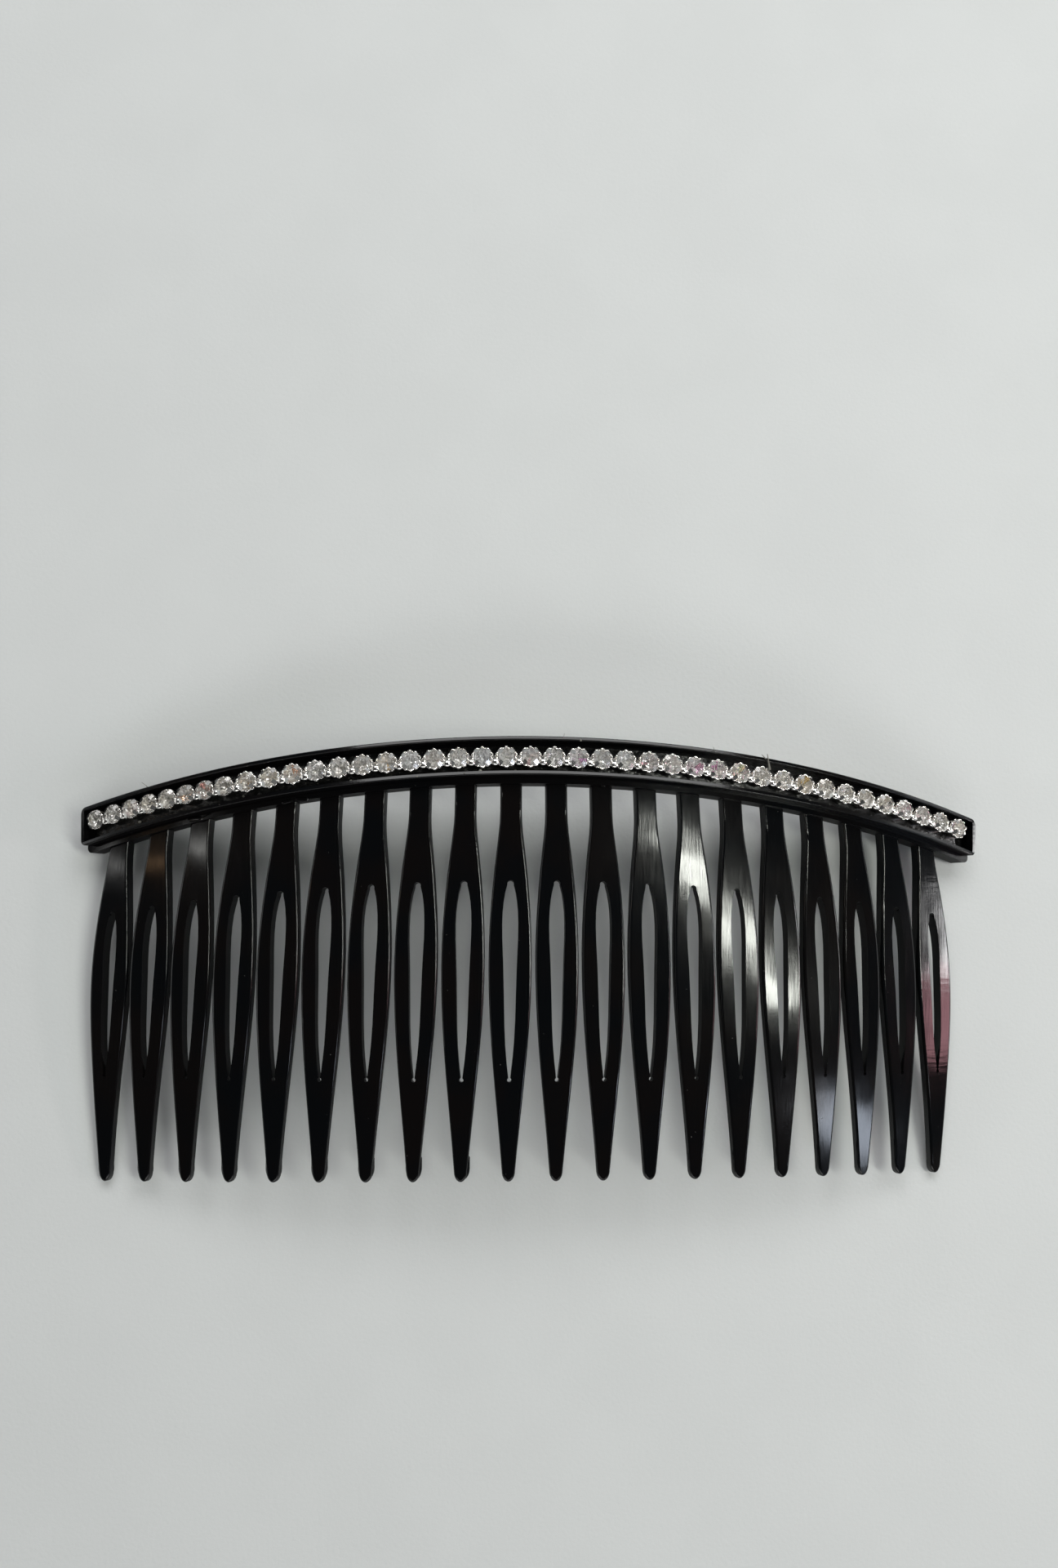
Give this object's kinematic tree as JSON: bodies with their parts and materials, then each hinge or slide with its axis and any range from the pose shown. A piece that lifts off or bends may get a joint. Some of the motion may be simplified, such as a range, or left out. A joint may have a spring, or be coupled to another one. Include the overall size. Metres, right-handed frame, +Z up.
{
  "type": "decorative hair comb",
  "caption": "Arched side comb for the hair: glossy black moulded spine with slotted teeth and a row of clear stones in cup settings along its groove.",
  "frame": {"origin": "middle of the bottom of the bounding box, on the surface the comb lies on", "axes": "+X along the spine, +Y from the tips of the teeth to the spine, +Z up out of the convex front face"},
  "size_m": [0.117, 0.0558, 0.0148],
  "materials": {
    "moulded_plastic": "injection-moulded black plastic, glossy",
    "plated_metal": "bright silver-coloured plating on pressed metal",
    "stone": "clear cut glass, foiled behind",
    "clear_adhesive": "cured clear glue"
  },
  "bodies": {
    "root": {"comb_spine": "moulded_plastic", "comb_teeth": "moulded_plastic", "adhesive_bed": "clear_adhesive", "setting_cups": "plated_metal", "chain_links": "plated_metal", "rhinestone_01": "stone", "rhinestone_02": "stone", "rhinestone_03": "stone", "rhinestone_04": "stone", "rhinestone_05": "stone", "rhinestone_06": "stone", "rhinestone_07": "stone", "rhinestone_08": "stone", "rhinestone_09": "stone", "rhinestone_10": "stone", "rhinestone_11": "stone", "rhinestone_12": "stone", "rhinestone_13": "stone", "rhinestone_14": "stone", "rhinestone_15": "stone", "rhinestone_16": "stone", "rhinestone_17": "stone", "rhinestone_18": "stone", "rhinestone_19": "stone", "rhinestone_20": "stone", "rhinestone_21": "stone", "rhinestone_22": "stone", "rhinestone_23": "stone", "rhinestone_24": "stone", "rhinestone_25": "stone", "rhinestone_26": "stone", "rhinestone_27": "stone", "rhinestone_28": "stone", "rhinestone_29": "stone", "rhinestone_30": "stone", "rhinestone_31": "stone", "rhinestone_32": "stone", "rhinestone_33": "stone", "rhinestone_34": "stone", "rhinestone_35": "stone", "rhinestone_36": "stone", "rhinestone_37": "stone", "rhinestone_38": "stone", "rhinestone_39": "stone", "rhinestone_40": "stone", "rhinestone_41": "stone"}
  },
  "joints": []
}
